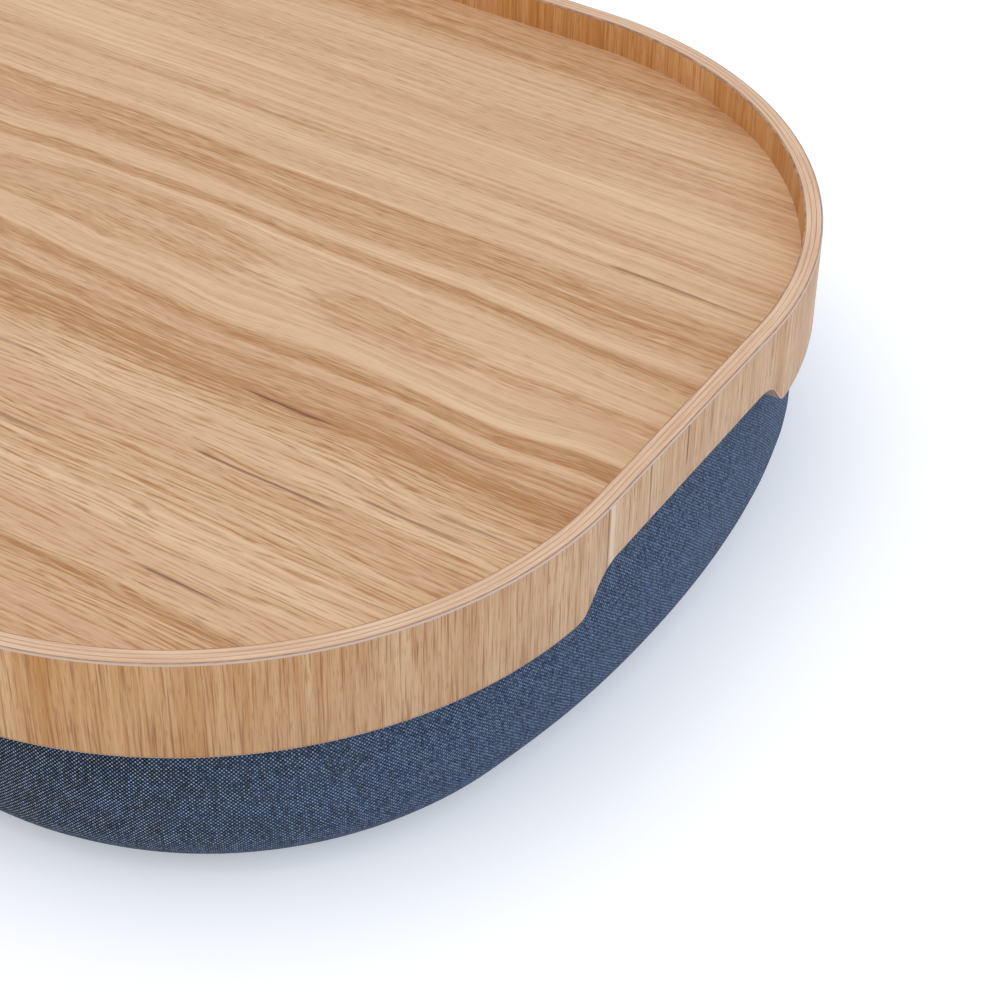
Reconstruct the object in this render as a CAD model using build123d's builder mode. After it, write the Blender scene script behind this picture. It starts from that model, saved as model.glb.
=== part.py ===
from build123d import *
from math import atan2, cos, degrees, hypot, radians, sin, sqrt, tan
import os

os.makedirs("parts", exist_ok=True)

# A lap tray: a laminated wooden tray that stands on a bead-filled cushion.
# X runs along the long side, Y across the lap and Z up. The origin is under
# the middle of the cushion, on the surface that the cushion stands on.

# Driving dimensions of the whole object
tray_length = 555.0
tray_width = 385.0
overall_height = 90.0
corner_radius = 144.0
rim_height = 35.0
well_depth = 12.0

# Wood layers of the bent rim and of the deck
face_veneer = 0.6
rim_ply = 1.6
glue_line = 0.05
deck_ply = 1.0
groove_depth = 1.4
groove_clearance = 0.1
rim_top_ease = 0.7
rim_foot_ease = 0.4

# Hand notches in the lower edge of the rim, one on each short side
notch_width = 130.0
notch_height = 13.0
notch_top_radius = 13.5
notch_foot_radius = 7.0
notch_flank_angle = 52.0

# Butt joint in the outer veneer, on the right-hand short side
joint_from_middle = 51.0
joint_gap = 0.15

# Hook-and-loop strips that hold the cushion under the deck
strip_length = 110.0
strip_width = 38.0
strip_corner = 4.0
strip_pitch_x = 290.0
strip_pitch_y = 200.0
hook_thickness = 1.8
loop_thickness = 2.4
strip_clearance = 0.3

# Cushion outline at its belly, measured in from the rim's outer face
belly_inset_short = 2.0
belly_inset_long = 5.0
short_bow_radius = 370.0
long_bow_radius = 1800.0
belly_corner_radius = 121.0

# Cushion side, from the floor up
base_round = 18.0
rim_clearance = 0.8
belly_sag = 0.8
shoulder_round = 6.0
shoulder_draw = 1.6
cover_cloth = 0.9
flange_width = 10.0
panel_setback = 1.0
panel_seam_gap = 0.2

# Zip across the top of the cushion, under the deck
zip_length = 340.0
zip_window_width = 12.0
zip_window_setback = 6.0
tape_width = 14.0
tape_thickness = 0.6
tape_tail = 12.0
chain_slot = 1.0
chain_width = 2.2
chain_height = 1.8
chain_round = 0.5
stop_length = 2.6
stop_height = 2.2
stop_bar_width = 6.0

# Slider of the zip, without a pull
slider_length = 12.0
slider_plate = 1.0
slider_keel = 0.8
slider_wall = 0.9
slider_round = 2.0
slider_keel_length = 9.0
slider_keel_width = 6.4
slider_web = 0.5
slider_web_length = 3.0
slider_clearance = 0.2
slider_side_clearance = 0.5
slider_end_clearance = 0.4
bail_length = 6.0
bail_width = 2.4
bail_height = 1.3
bail_wall = 0.5

# Liner bag and filling
liner_cloth = 0.4
liner_clearance = 0.3
liner_top_clearance = 0.4
filling_clearance = 0.2

# One overrun serves every cut
overrun = 5.0

# Heights and widths that follow
rim_thickness = 2 * face_veneer + 3 * rim_ply + 4 * glue_line
rim_bottom = overall_height - rim_height
notch_top = rim_bottom + notch_height
deck_top = overall_height - well_depth
deck_thickness = 2 * face_veneer + 3 * deck_ply
deck_underside = deck_top - deck_thickness
panel_top = deck_underside - hook_thickness - strip_clearance - loop_thickness
cover_top = panel_top - cover_cloth
tape_underside = cover_top - tape_thickness
keel_top = tape_underside - slider_clearance
keel_underside = keel_top - slider_keel
liner_top = keel_underside - liner_top_clearance
chain_top = cover_top + chain_height
slider_underside = chain_top + slider_clearance
slider_top = slider_underside + slider_plate


def finish(piece, name):
    """Label a finished piece and write it to its own file."""
    piece.part.label = name
    export_step(piece.part, f"parts/{name}.step")


def tray_outline(inset, mode=Mode.ADD):
    """Plan outline of the tray, moved in from the rim's outer face by inset."""
    RectangleRounded(
        tray_length - 2 * inset,
        tray_width - 2 * inset,
        corner_radius - inset,
        mode=mode,
    )


# Rim: one blank with its notches, eased edges and groove, then cut into layers

flank = radians(notch_flank_angle)
top_run = notch_top_radius * sin(flank)
top_rise = notch_top_radius * (1 - cos(flank))
foot_run = notch_foot_radius * sin(flank)
foot_rise = notch_foot_radius * (1 - cos(flank))
flank_rise = notch_height - top_rise - foot_rise
flank_run = flank_rise / tan(flank)
foot_y = notch_width / 2
flank_low = (foot_y - foot_run, rim_bottom + foot_rise)
flank_high = (foot_y - foot_run - flank_run, notch_top - top_rise)
flat_end = (flank_high[0] - top_run, notch_top)
half_flank = flank / 2
foot_middle = (
    foot_y - notch_foot_radius * sin(half_flank),
    rim_bottom + notch_foot_radius * (1 - cos(half_flank)),
)
top_middle = (
    flat_end[0] + notch_top_radius * sin(half_flank),
    notch_top - notch_top_radius * (1 - cos(half_flank)),
)

with BuildPart() as rim_blank:
    with BuildSketch(Plane.XY.offset(rim_bottom)):
        tray_outline(0)
        tray_outline(rim_thickness, mode=Mode.SUBTRACT)
    extrude(amount=rim_height)
    fillet(rim_blank.faces().sort_by(Axis.Z)[-1].edges(), rim_top_ease)
    fillet(rim_blank.faces().sort_by(Axis.Z)[0].edges(), rim_foot_ease)
    with BuildSketch(Plane.YZ):
        with BuildLine():
            Polyline(
                (0, notch_top),
                (0, rim_bottom - overrun),
                (foot_y, rim_bottom - overrun),
                (foot_y, rim_bottom),
            )
            ThreePointArc((foot_y, rim_bottom), foot_middle, flank_low)
            Line(flank_low, flank_high)
            ThreePointArc(flank_high, top_middle, flat_end)
            Line(flat_end, (0, notch_top))
        make_face()
        mirror(about=Plane.YZ)
    extrude(amount=tray_length, both=True, mode=Mode.SUBTRACT)
    with BuildSketch(Plane.XY.offset(deck_underside)):
        tray_outline(rim_thickness - groove_depth)
    extrude(amount=deck_thickness, mode=Mode.SUBTRACT)


def rim_layer(name, start, thickness):
    """One bent layer of the rim, from start to start plus thickness inside the outer face.

    The outer veneer is one strip with a butt joint. The middle ply is made up of
    eight lengths that butt where the corners begin and end.
    """
    with BuildPart() as layer:
        add(rim_blank.part)
        with BuildSketch(Plane.XY.offset(rim_bottom - overrun)):
            tray_outline(start)
            tray_outline(start + thickness, mode=Mode.SUBTRACT)
        extrude(amount=rim_height + 2 * overrun, mode=Mode.INTERSECT)
        if start == 0:
            with BuildSketch(Plane.XY.offset(rim_bottom - overrun)):
                with Locations((tray_length / 2, -joint_from_middle)):
                    Rectangle(2 * rim_thickness, joint_gap)
            extrude(amount=rim_height + 2 * overrun, mode=Mode.SUBTRACT)
        if name == "rim_middle_ply":
            for side in (-1, 1):
                corner_start_x = side * (tray_length / 2 - corner_radius)
                corner_start_y = side * (tray_width / 2 - corner_radius)
                split(bisect_by=Plane.YZ.offset(corner_start_x), keep=Keep.BOTH)
                split(bisect_by=Plane.XZ.offset(corner_start_y), keep=Keep.BOTH)
    finish(layer, name)


rim_layers = [
    ("rim_outer_veneer", face_veneer),
    ("rim_outer_ply", rim_ply),
    ("rim_middle_ply", rim_ply),
    ("rim_inner_ply", rim_ply),
    ("rim_inner_veneer", face_veneer),
]
layer_start = 0.0
for layer_name, layer_thickness in rim_layers:
    rim_layer(layer_name, layer_start, layer_thickness)
    layer_start += layer_thickness + glue_line

# Deck: a thin sheet of plywood held in the rim's groove, top face first

deck_layers = [
    ("deck_top_veneer", face_veneer),
    ("deck_upper_ply", deck_ply),
    ("deck_cross_ply", deck_ply),
    ("deck_lower_ply", deck_ply),
    ("deck_backing_veneer", face_veneer),
]
layer_top = deck_top
for layer_name, layer_thickness in deck_layers:
    with BuildPart() as deck_layer:
        with BuildSketch(Plane.XY.offset(layer_top - layer_thickness)):
            tray_outline(rim_thickness - groove_depth + groove_clearance)
        extrude(amount=layer_thickness)
    finish(deck_layer, layer_name)
    layer_top -= layer_thickness


# Hook strips glued under the deck, and the loop strips that face them

def strips(name, underside, thickness):
    """Four strips of fastener tape, one near each corner."""
    with BuildPart() as tape_strips:
        with BuildSketch(Plane.XY.offset(underside)):
            with GridLocations(strip_pitch_x, strip_pitch_y, 2, 2):
                RectangleRounded(strip_length, strip_width, strip_corner)
        extrude(amount=thickness)
    finish(tape_strips, name)


strips("hook_strips", deck_underside - hook_thickness, hook_thickness)
strips("loop_strips", panel_top, loop_thickness)

# Cushion outline: four shallow bows joined by round corners, tangent all the way.
# The corner's centre lies where its distances to the two bow centres fit.

short_centre = tray_length / 2 - belly_inset_short - short_bow_radius
long_centre = tray_width / 2 - belly_inset_long - long_bow_radius
short_reach = short_bow_radius - belly_corner_radius
long_reach = long_bow_radius - belly_corner_radius
span = hypot(short_centre, long_centre)
along = (short_reach**2 - long_reach**2 + span**2) / (2 * span)
aside = sqrt(short_reach**2 - along**2)
unit_x = -short_centre / span
unit_y = long_centre / span
corner_x = short_centre + along * unit_x - aside * unit_y
corner_y = along * unit_y + aside * unit_x
short_angle = degrees(atan2(corner_y, corner_x - short_centre))
long_angle = degrees(atan2(corner_y - long_centre, corner_x))
turn = 180.0


def cushion_outline(inset):
    """Outline of the cushion, parallel to its belly and moved in by inset."""
    short_radius = short_bow_radius - inset
    long_radius = long_bow_radius - inset
    corner = belly_corner_radius - inset
    short_sweep = 2 * short_angle
    long_sweep = turn - 2 * long_angle
    corner_sweep = long_angle - short_angle
    with BuildSketch() as outline:
        with BuildLine():
            CenterArc((short_centre, 0), short_radius, -short_angle, short_sweep)
            CenterArc((corner_x, corner_y), corner, short_angle, corner_sweep)
            CenterArc((0, long_centre), long_radius, long_angle, long_sweep)
            CenterArc((-corner_x, corner_y), corner, turn - long_angle, corner_sweep)
            CenterArc((-short_centre, 0), short_radius, turn - short_angle, short_sweep)
            CenterArc((-corner_x, -corner_y), corner, turn + short_angle, corner_sweep)
            CenterArc((0, -long_centre), long_radius, turn + long_angle, long_sweep)
            CenterArc((corner_x, -corner_y), corner, -long_angle, corner_sweep)
        make_face()
    return outline.sketch


# Cushion side: round at the base, widest at the belly, drawn in under the rim
# and round again at the shoulder

neck_draw = rim_thickness + rim_clearance - belly_inset_short
shoulder_start = neck_draw + shoulder_draw
base_angles = (0.0, 22.5, 45.0, 67.5, 90.0)
shoulder_angles = (0.0, 22.5, 45.0, 67.5, 90.0)


def cushion_form(shrink, top):
    """Closed form of the cushion, shrunk on all sides, with its flat top at top."""
    base = base_round - shrink
    shoulder = shoulder_round - shrink
    base_levels = []
    for angle in base_angles:
        rise = base_round - base * cos(radians(angle))
        base_levels.append((rise, base_round - base * sin(radians(angle))))
    shoulder_levels = []
    for angle in shoulder_angles:
        rise = top - shoulder * (1 - sin(radians(angle)))
        draw = shoulder_start + shoulder_round - shoulder * cos(radians(angle))
        shoulder_levels.append((rise, draw))
    side_levels = [
        base_levels[-1],
        ((base_round + rim_bottom) / 2, belly_sag + shrink),
        (rim_bottom, neck_draw + shrink),
        shoulder_levels[0],
    ]
    with BuildPart() as form:
        for levels in (base_levels, side_levels, shoulder_levels):
            for rise, draw in levels:
                with BuildSketch(Plane.XY.offset(rise)):
                    add(cushion_outline(draw))
            loft()
    return form


flange_start = shoulder_start + shoulder_round
cover_outside = cushion_form(0, cover_top)
cover_inside = cushion_form(cover_cloth, cover_top - cover_cloth)

# Cover: base and sides are one shaped piece, turned in over the shoulder
with BuildPart() as cover_body:
    add(cover_outside.part)
    add(cover_inside.part, mode=Mode.SUBTRACT)
    with BuildSketch(Plane.XY.offset(cover_top - cover_cloth - overrun)):
        add(cushion_outline(flange_start + flange_width))
    extrude(amount=cover_cloth + 2 * overrun, mode=Mode.SUBTRACT)
finish(cover_body, "cover_body")


def top_panel(name, side):
    """Half of the cover's top, sewn on the flange, with its edge along the zip."""
    with BuildPart() as panel:
        with BuildSketch(Plane.XY.offset(cover_top)):
            add(cushion_outline(flange_start + panel_setback))
            Rectangle(
                zip_length + 2 * (tape_tail - zip_window_setback),
                zip_window_width,
                mode=Mode.SUBTRACT,
            )
            with Locations((0, -side * tray_width / 2)):
                Rectangle(tray_length, tray_width + panel_seam_gap, mode=Mode.SUBTRACT)
        extrude(amount=cover_cloth)
    finish(panel, name)


top_panel("cover_top_front", -1)
top_panel("cover_top_back", 1)

# Zip: two tapes sewn under the panels, each with its half of the chain

for side_name, side in (("front", -1), ("back", 1)):
    with BuildPart() as zip_tape:
        with BuildSketch(Plane.XY.offset(tape_underside)):
            with Locations((0, side * (chain_slot + tape_width) / 2)):
                Rectangle(zip_length + 2 * tape_tail, tape_width)
        extrude(amount=tape_thickness)
    finish(zip_tape, f"zip_tape_{side_name}")
    with BuildPart() as zip_chain:
        with BuildSketch(Plane.XY.offset(cover_top)):
            with Locations((0, side * (chain_slot + chain_width) / 2)):
                Rectangle(zip_length, chain_width)
        extrude(amount=chain_height)
        top_edges = zip_chain.faces().sort_by(Axis.Z)[-1].edges().filter_by(Axis.X)
        fillet(top_edges, chain_round)
    finish(zip_chain, f"zip_chain_{side_name}")

with BuildPart() as zip_end_stop:
    with BuildSketch(Plane.XY.offset(cover_top)):
        with Locations((-(zip_length + stop_length) / 2, 0)):
            Rectangle(stop_length, stop_bar_width)
    extrude(amount=stop_height)
finish(zip_end_stop, "zip_end_stop")

with BuildPart() as zip_top_stops:
    with BuildSketch(Plane.XY.offset(cover_top)):
        with Locations((zip_length / 2 + stop_length / 2, 0)):
            with GridLocations(0, chain_slot + chain_width, 1, 2):
                Rectangle(stop_length, chain_width)
    extrude(amount=stop_height)
finish(zip_top_stops, "zip_top_stops")

# Slider: a plate with side walls over the chain, and a keel under the tapes,
# joined by a web that runs in the slot between the two halves

slider_x = zip_length / 2 - slider_end_clearance - slider_length / 2
wall_inside = chain_slot / 2 + chain_width + slider_side_clearance
slider_width = 2 * (wall_inside + slider_wall)
wall_foot = cover_top + slider_clearance
web_x = slider_x + (slider_keel_length - slider_web_length) / 2

with BuildPart() as zip_slider:
    with BuildSketch(Plane.XY.offset(slider_underside)):
        with Locations((slider_x, 0)):
            RectangleRounded(slider_length, slider_width, slider_round)
    extrude(amount=slider_plate)
    with BuildSketch(Plane.XY.offset(wall_foot)):
        with Locations((slider_x, 0)):
            with GridLocations(0, slider_width - slider_wall, 1, 2):
                Rectangle(slider_length - 2 * slider_round, slider_wall)
    extrude(amount=slider_underside - wall_foot)
    with BuildSketch(Plane.XY.offset(keel_underside)):
        with Locations((slider_x, 0)):
            RectangleRounded(slider_keel_length, slider_keel_width, slider_round)
    extrude(amount=slider_keel)
    with BuildSketch(Plane.XY.offset(keel_top)):
        with Locations((web_x, 0)):
            Rectangle(slider_web_length, slider_web)
    extrude(amount=slider_underside - keel_top)
    with BuildSketch(Plane.XZ.offset(-bail_width / 2)):
        with Locations((slider_x, slider_top + bail_height / 2)):
            Rectangle(bail_length, bail_height)
        with Locations((slider_x, slider_top + (bail_height - bail_wall) / 2)):
            Rectangle(bail_length - 2 * bail_wall, bail_height - bail_wall, mode=Mode.SUBTRACT)
    extrude(amount=bail_width)
finish(zip_slider, "zip_slider")

# Liner bag: a lower and an upper leaf that meet at a seam round the middle

liner_shrink = cover_cloth + liner_clearance
liner_seam = (base_round + rim_bottom) / 2
liner_outside = cushion_form(liner_shrink, liner_top)
liner_inside = cushion_form(liner_shrink + liner_cloth, liner_top - liner_cloth)

for leaf_name, kept in (("liner_lower_leaf", Keep.BOTTOM), ("liner_upper_leaf", Keep.TOP)):
    with BuildPart() as leaf:
        add(liner_outside.part)
        add(liner_inside.part, mode=Mode.SUBTRACT)
        split(bisect_by=Plane.XY.offset(liner_seam), keep=kept)
    finish(leaf, leaf_name)

# Bead filling, as one closed form that fills the liner

filling_shrink = liner_shrink + liner_cloth + filling_clearance
bead_filling = cushion_form(filling_shrink, liner_top - liner_cloth - filling_clearance)
finish(bead_filling, "bead_filling")
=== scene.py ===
from functools import partial
from math import atan2, ceil, cos, exp, hypot, pi, radians, sin, sqrt, tan

import bpy
from mathutils import Matrix, Vector, kdtree, noise


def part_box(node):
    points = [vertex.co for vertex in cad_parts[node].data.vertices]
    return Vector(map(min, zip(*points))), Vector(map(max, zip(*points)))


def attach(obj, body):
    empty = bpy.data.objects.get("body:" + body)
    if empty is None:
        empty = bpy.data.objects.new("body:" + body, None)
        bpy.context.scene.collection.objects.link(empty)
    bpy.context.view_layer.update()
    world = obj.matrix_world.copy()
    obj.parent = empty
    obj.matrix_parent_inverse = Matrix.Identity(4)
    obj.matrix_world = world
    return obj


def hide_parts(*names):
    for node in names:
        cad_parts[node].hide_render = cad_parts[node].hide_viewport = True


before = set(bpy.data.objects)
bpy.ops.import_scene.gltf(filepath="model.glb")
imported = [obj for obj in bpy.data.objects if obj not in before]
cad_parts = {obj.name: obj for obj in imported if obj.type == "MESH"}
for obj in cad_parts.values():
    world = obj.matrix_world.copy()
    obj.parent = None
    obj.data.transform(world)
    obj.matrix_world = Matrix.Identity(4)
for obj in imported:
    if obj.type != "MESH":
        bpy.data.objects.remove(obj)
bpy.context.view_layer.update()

# Camera: the photograph looks down on the right-hand end of the tray, close up,
# so that the far long side and the left-hand end are cut off by the frame.

mm = 0.001
quarter_turn = pi / 2
camera_place = Vector((0.5379, -0.5331, 0.5507))
camera_heading = radians(121.605)
camera_dip = radians(39.948)
camera_roll = radians(0.968)

camera_data = bpy.data.cameras.new("camera")
camera_data.sensor_width = 36
camera_data.lens = 91.57
camera = bpy.data.objects.new("camera", camera_data)
bpy.context.scene.collection.objects.link(camera)
camera.matrix_world = (
    Matrix.Translation(camera_place)
    @ Matrix.Rotation(camera_heading - quarter_turn, 4, "Z")
    @ Matrix.Rotation(quarter_turn - camera_dip, 4, "X")
    @ Matrix.Rotation(camera_roll, 4, "Z")
)
bpy.context.scene.camera = camera
bpy.context.scene.view_settings.view_transform = "Standard"


# Light: a pale studio, with one large soft lamp nearly overhead, so that the rim
# shades the cloth just below it and the floor's shadow stays close to the cushion,
# and a weak cool window beyond the tray's right-hand end.

def linear(hex_colour):
    """Turn an sRGB hex colour into the linear colour that the shaders take."""
    channels = []
    for start in (1, 3, 5):
        share = int(hex_colour[start:start + 2], 16) / 255
        if share <= 0.04045:
            channels.append(share / 12.92)
        else:
            channels.append(((share + 0.055) / 1.055) ** 2.4)
    return (*channels, 1.0)


def node(tree, kind, *feeds, sockets=None, tones=(), **settings):
    """Add a shader node with its settings and links, and feed its inputs in their order.

    Its operation or data type may follow its kind. A feed is a value, a hex colour,
    or the node or socket to link from. The inputs in sockets go by name instead. The
    tones of a ramp are pairs of a place and a grey.
    """
    kind, _, way = kind.partition(" ")
    made = tree.nodes.new("ShaderNode" + kind)
    if way:
        setattr(made, "data_type" if kind == "Mix" else "operation", way)
    for setting, value in settings.items():
        setattr(made, setting, value)
    working = [socket for socket in made.inputs if socket.enabled]
    fed = list(zip(working, feeds))
    for name, feed in (sockets or {}).items():
        fed.append((made.inputs[name], feed))
    for socket, feed in fed:
        if isinstance(feed, str):
            feed = linear(feed)
        if isinstance(feed, bpy.types.Node):
            feed = next(output for output in feed.outputs if output.enabled)
        if isinstance(feed, bpy.types.NodeSocket):
            tree.links.new(feed, socket)
        else:
            socket.default_value = feed
    if tones:
        made.color_ramp.interpolation = "EASE"
        points = made.color_ramp.elements
        points.remove(points[0])
        for number, (place, grey) in enumerate(tones):
            point = points.new(place) if number else points[0]
            point.position = place
            point.color = (grey, grey, grey, 1)
    return made


room_strength = 0.8
room = bpy.data.worlds.new("studio_room")
room.use_nodes = True
room.node_tree.nodes.clear()
room_light = node(room.node_tree, "Background", "#F6F8FF", room_strength)
node(room.node_tree, "OutputWorld", room_light)
bpy.context.scene.world = room


def soft_lamp(name, place, side, power, colour):
    """Square lamp at a place in metres, turned towards the tray."""
    data = bpy.data.lights.new(name, "AREA")
    data.size = side
    data.energy = power
    data.color = linear(colour)[:3]
    made = bpy.data.objects.new(name, data)
    turned = (-place).to_track_quat("-Z", "Y").to_matrix().to_4x4()
    made.matrix_world = Matrix.Translation(place) @ turned
    bpy.context.scene.collection.objects.link(made)


overhead_place = Vector((-0.28, -0.26, 2.15))
overhead_side = 1.3
overhead_power = 12.4
soft_lamp("overhead_lamp", overhead_place, overhead_side, overhead_power, "#FFF8F0")
window_place = Vector((1.4, 0.2, 0.5))
window_side = 0.8
window_power = 3.0
soft_lamp("cool_window", window_place, window_side, window_power, "#9CC4FF")


# Floor: plain white studio paper, which isn't part of the object. Its shadow is a
# pale blue, as the paper picks up the cool light of the room.

def new_finish(name):
    """New empty material, and the function that adds a node to it."""
    made = bpy.data.materials.new(name)
    made.use_nodes = True
    made.node_tree.nodes.clear()
    return made, partial(node, made.node_tree)


def mesh_piece(name, points, faces, maps=None, smooth=True):
    """Object of a mesh, with its map in metres where it has one."""
    data = bpy.data.meshes.new(name)
    data.from_pydata(points, [], faces)
    if maps:
        data.uv_layers.new(name="map").data.foreach_set("uv", [part for place in maps for part in place])
    data.polygons.foreach_set("use_smooth", [smooth] * len(faces))
    piece = bpy.data.objects.new(name, data)
    bpy.context.scene.collection.objects.link(piece)
    return piece


floor_reach = 6.0
floor_corners = [(x * floor_reach, y * floor_reach, 0) for x, y in ((-1, -1), (1, -1), (1, 1), (-1, 1))]
floor = mesh_piece("studio_paper", floor_corners, [(0, 1, 2, 3)], smooth=False)

paper, add = new_finish("matt_white_paper")
rays = add("LightPath").outputs
mirrored = add("Math MAXIMUM", rays["Is Camera Ray"], rays["Is Glossy Ray"])
seen = add("Math MAXIMUM", mirrored, rays["Is Transmission Ray"])
paper_surface = add("BsdfDiffuse", "#E6E7E8")
paper_glow = add("Emission", "#9C9FA2", seen)
add("OutputMaterial", add("AddShader", paper_surface, paper_glow))
floor.data.materials.append(paper)

# Rim: five thin layers of wood glued and bent together into one hoop. The three
# inner plies have their grain along the hoop; the two face veneers stand upright.

rim_low, rim_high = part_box("rim_outer_veneer")
corner_radius = 144 * mm
half_long = rim_high.x - corner_radius
half_short = rim_high.y - corner_radius
corner_run = corner_radius * quarter_turn
half_hoop = 2 * (half_long + half_short + corner_run)


def hoop_place(along, depth):
    """Plan place on the hoop, along its outer face from the middle of the right-hand end."""
    way = along % (2 * half_hoop)
    turned = -1 if way >= half_hoop else 1
    way %= half_hoop
    radius = corner_radius - depth
    if way < half_short:
        x, y = half_long + radius, way
    elif way < half_short + corner_run:
        angle = (way - half_short) / corner_radius
        x, y = half_long + radius * cos(angle), half_short + radius * sin(angle)
    elif way < half_short + corner_run + 2 * half_long:
        x, y = half_long - (way - half_short - corner_run), half_short + radius
    elif way < half_hoop - half_short:
        angle = quarter_turn + (way - half_short - corner_run - 2 * half_long) / corner_radius
        x, y = -half_long + radius * cos(angle), half_short + radius * sin(angle)
    else:
        x, y = -half_long - radius, half_hoop - way
    return turned * x, turned * y


notch_width = 130 * mm
notch_height = 13 * mm
notch_top_radius = 13.5 * mm
notch_foot_radius = 7 * mm
notch_flank = radians(52)
foot_run = notch_foot_radius * sin(notch_flank)
foot_rise = notch_foot_radius * (1 - cos(notch_flank))
top_run = notch_top_radius * sin(notch_flank)
top_rise = notch_top_radius * (1 - cos(notch_flank))
flank_run = (notch_height - foot_rise - top_rise) / tan(notch_flank)


def notch_lift(y):
    """Height of the rim's lower edge above its foot, at y across an end."""
    inside = notch_width / 2 - abs(y)
    to_flat = foot_run + flank_run + top_run - inside
    if inside <= 0:
        return 0.0
    if inside < foot_run:
        return notch_foot_radius - sqrt(notch_foot_radius**2 - inside**2)
    if inside < foot_run + flank_run:
        return foot_rise + (inside - foot_run) * tan(notch_flank)
    if to_flat > 0:
        return notch_height - notch_top_radius + sqrt(notch_top_radius**2 - to_flat**2)
    return notch_height


rim_thickness = 6.2 * mm
top_ease = 0.7 * mm
foot_ease = 0.4 * mm
edge_steps = 4


def layer_edge(near, far, ease, level, sign):
    """Section points across a layer's foot, 1, or its top, -1, rounded by the rim's eased edges."""
    points = []
    for step in range(edge_steps + 1):
        depth = near + (far - near) * step / edge_steps
        inside = max(min(depth, rim_thickness - depth), 0)
        drop = ease - sqrt(ease**2 - (ease - inside)**2) if inside < ease else 0.0
        points.append((depth, level + sign * drop, sign))
    return points


def full_layer(near, far):
    """Outline of a layer that runs from the rim's foot to its top."""
    def outline(y):
        foot = layer_edge(near, far, foot_ease, rim_low.z + notch_lift(y), 1)
        return foot + layer_edge(far, near, top_ease, rim_high.z, -1)
    return outline


hoop_step = 2 * mm
sharp_angle = radians(40)


def bent_strip(name, outlines, joint=None, joint_gap=0.0):
    """Mesh of a bent layer: each outline gives its section, as depths and heights, at a place.

    Each point of a section also says whether it lies on the layer's foot, 1, its top,
    -1, or neither, 0. With a joint, the layer is one strip whose ends meet there with
    a gap; without one it is a closed hoop. The map runs along the hoop and up the
    wall, in metres.
    """
    start = 0.0 if joint is None else joint + joint_gap / 2
    run = 2 * half_hoop - joint_gap
    count = ceil(run / hoop_step)
    rings = count if joint is None else count + 1
    stations = [start + run * step / count for step in range(rings)]
    points, faces, maps, depths, edges = [], [], [], [], []
    for outline in outlines:
        first = len(points)
        sections = [outline(hoop_place(along, 0.0)[1]) for along in stations]
        size = len(sections[0])
        for along, section in zip(stations, sections):
            points += [(*hoop_place(along, depth), height) for depth, height, _ in section]
        for ring in range(count):
            far = (ring + 1) % rings
            here = stations[ring]
            there = here + run / count
            for step in range(size):
                after = (step + 1) % size
                low, high = sections[ring][step], sections[ring][after]
                on_edge = low[2] != 0 and low[2] == high[2]
                edges.append(float(on_edge))
                corners = [(ring, here, step), (far, there, step)]
                corners += [(far, there, after), (ring, here, after)]
                faces.append([first + row * size + place for row, _, place in corners])
                for row, along, place in corners:
                    depth, height, _ = sections[row][place]
                    maps.append((along, height + depth if on_edge else height))
                    depths.append(depth)
        for row, way in () if joint is None else ((0, 1), (count, -1)):
            edges.append(1.0)
            faces.append([first + row * size + step for step in range(size)][::way])
            for depth, height, _ in sections[row][::way]:
                maps.append((stations[row], height))
                depths.append(depth)
    piece = mesh_piece(name, points, faces, maps)
    piece.data.attributes.new("depth", "FLOAT", "CORNER").data.foreach_set("value", depths)
    piece.data.attributes.new("edge", "FLOAT", "FACE").data.foreach_set("value", edges)
    piece.data.set_sharp_from_angle(angle=sharp_angle)
    return piece


def fit(piece, material, slot, body, *nodes, fill=None):
    """Give a piece its material, its body and the CAD nodes it stands for; its fill is not used."""
    piece.data.materials.append(material)
    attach(piece, body)
    if nodes:
        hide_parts(*nodes)


# Upright ash veneer, sliced and clear lacquered: short dark pores that stand upright,
# soft bands of colour side by side, and browner end grain on its cut edges.

def grain(add, spot, size, detail, rough=0.6):
    """Noise drawn out to a size in millimetres, one number for each way that it runs."""
    stretch = [1 / reach for reach in (*size, 1)[:3]]
    stretched = add("VectorMath MULTIPLY", spot, stretch)
    return add("TexNoise", stretched, 1.0, detail, rough, noise_dimensions=f"{len(size)}D")


def from_middle(add):
    """Distance from the tray's middle towards either end, in metres."""
    place = add("SeparateXYZ", add("TexCoord").outputs["Object"])
    return add("Math ABSOLUTE", place.outputs["X"])


def finished(made, sockets):
    """Close a material with a surface, whose values and feeds go by its sockets' names."""
    surface = node(made.node_tree, "BsdfPrincipled", sockets=sockets)
    node(made.node_tree, "OutputMaterial", surface)
    return made


ash_band = (11, 190)
ash_line = (1.5, 60)
long_pore = (0.62, 24)
short_pore = (0.36, 6)
end_dot = (4, 0.2)
wall_end_light_start = 185 * mm
line_fade = 3.0
foot_shade_width = 1.0
arris_highlight_width = (0.1, 0.42)
pore_depth = 0.05 * mm


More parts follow.
